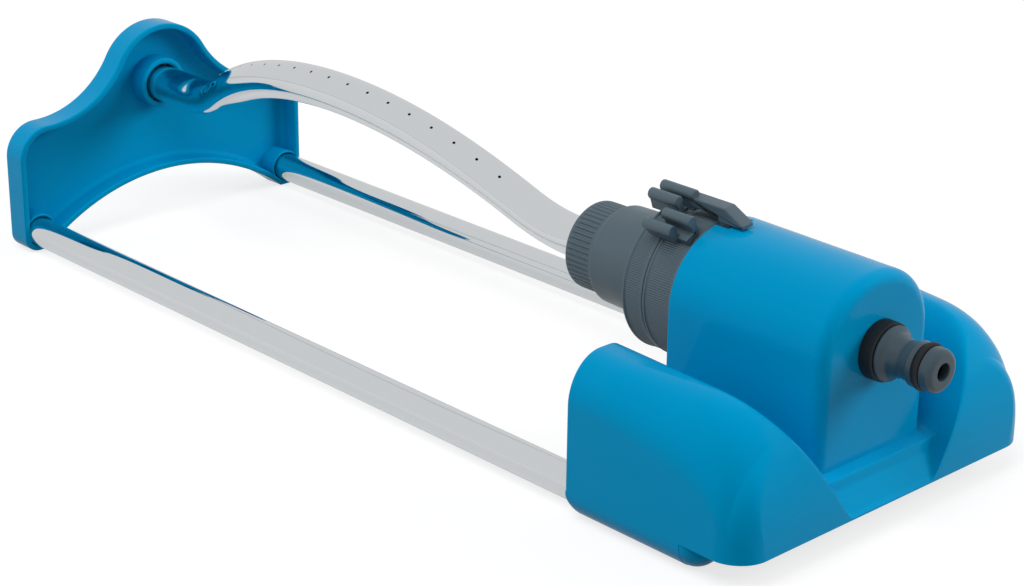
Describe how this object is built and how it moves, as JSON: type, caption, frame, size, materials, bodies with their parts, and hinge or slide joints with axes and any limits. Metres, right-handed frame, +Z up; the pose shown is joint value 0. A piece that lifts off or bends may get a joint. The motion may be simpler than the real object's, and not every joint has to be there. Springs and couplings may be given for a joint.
{
  "type": "oscillating lawn sprinkler",
  "caption": "Oscillating lawn sprinkler: arched spray bar on a rail frame, turned through gears by a water turbine in the blue inlet housing, with limit rings and a trip lever.",
  "frame": {"origin": "centre of the footprint, on the ground", "axes": "+Z up, +X along the spray bar's pivot axis towards the hose inlet, +Y across the frame, so the near side in the picture is -Y"},
  "size_m": [0.4056, 0.14, 0.094],
  "materials": {
    "blue_plastic": "glossy moulded ABS",
    "grey_plastic": "satin moulded acetal",
    "natural_plastic": "unpigmented moulded acetal",
    "polished_aluminium": "drawn tube, bright",
    "zinc_steel": "zinc plated",
    "black_rubber": "moulded nitrile rubber"
  },
  "bodies": {
    "base": {"end_bracket": "blue_plastic", "near_rail": "polished_aluminium", "far_rail": "polished_aluminium", "motor_housing": "blue_plastic", "base_tray": "blue_plastic", "tray_screw_1": "zinc_steel", "tray_screw_2": "zinc_steel", "tray_screw_3": "zinc_steel", "tray_screw_4": "zinc_steel", "inlet_connector": "grey_plastic", "inlet_o_ring": "black_rubber", "shoulder_seal": "black_rubber", "inlet_filter": "natural_plastic", "motor_case": "natural_plastic", "motor_cover": "natural_plastic", "case_seal": "black_rubber", "bulkhead": "natural_plastic", "jet_plate": "natural_plastic", "lay_pin": "zinc_steel", "centre_pin": "zinc_steel", "shaft_seal": "black_rubber", "pivot_bush": "natural_plastic"},
    "spray_bar": {"spray_tube": "polished_aluminium", "tube_end_plug": "grey_plastic", "tube_seal": "black_rubber", "collar_nut": "grey_plastic", "spray_head": "grey_plastic", "output_shaft": "natural_plastic", "output_gear": "natural_plastic"},
    "lay_gear_body": {"lay_gear": "natural_plastic"},
    "centre_gear_body": {"centre_gear": "natural_plastic"},
    "turbine_body": {"turbine_wheel": "natural_plastic"},
    "inner_ring": {"inner_limit_ring": "grey_plastic"},
    "outer_ring": {"outer_limit_ring": "grey_plastic"},
    "lever": {"trip_lever": "grey_plastic"},
    "flap": {"diverter_flap": "natural_plastic"}
  },
  "joints": [
    {"name": "spray_sweep", "type": "hinge", "parent": "base", "child": "spray_bar", "pos_m": [0, 0, 0.0572], "axis": [1, 0, 0], "range_deg": [-88.8, 31.2]},
    {"name": "lay_gear_spin", "type": "hinge", "parent": "base", "child": "lay_gear_body", "pos_m": [0.128, 0, 0.0452], "axis": [1, 0, 0], "range_deg": [-93.6, 266.4]},
    {"name": "centre_gear_spin", "type": "hinge", "parent": "base", "child": "centre_gear_body", "pos_m": [0.131, 0, 0.0572], "axis": [1, 0, 0], "range_deg": [-799.2, 280.8]},
    {"name": "turbine_spin", "type": "hinge", "parent": "base", "child": "turbine_body", "pos_m": [0.137, 0, 0.0452], "axis": [1, 0, 0], "range_deg": [-842.4, 2397.6]},
    {"name": "inner_ring_turn", "type": "hinge", "parent": "base", "child": "inner_ring", "pos_m": [0.11, 0, 0.0572], "axis": [1, 0, 0], "range_deg": [-3, 70]},
    {"name": "outer_ring_turn", "type": "hinge", "parent": "base", "child": "outer_ring", "pos_m": [0.099, 0, 0.0572], "axis": [1, 0, 0], "range_deg": [-30, 50]},
    {"name": "trip_lever_swing", "type": "hinge", "parent": "base", "child": "lever", "pos_m": [0.1195, 0, 0.0572], "axis": [1, 0, 0], "range_deg": [-12, 0]},
    {"name": "diverter_flap_swing", "type": "hinge", "parent": "base", "child": "flap", "pos_m": [0.1436, 0, 0.0572], "axis": [1, 0, 0], "range_deg": [-12, 0]}
  ],
  "couplings": [
    {"joint": "lay_gear_spin", "follows": "spray_sweep", "ratio": -3},
    {"joint": "centre_gear_spin", "follows": "spray_sweep", "ratio": 9},
    {"joint": "turbine_spin", "follows": "spray_sweep", "ratio": -27},
    {"joint": "diverter_flap_swing", "follows": "trip_lever_swing", "ratio": 1}
  ]
}
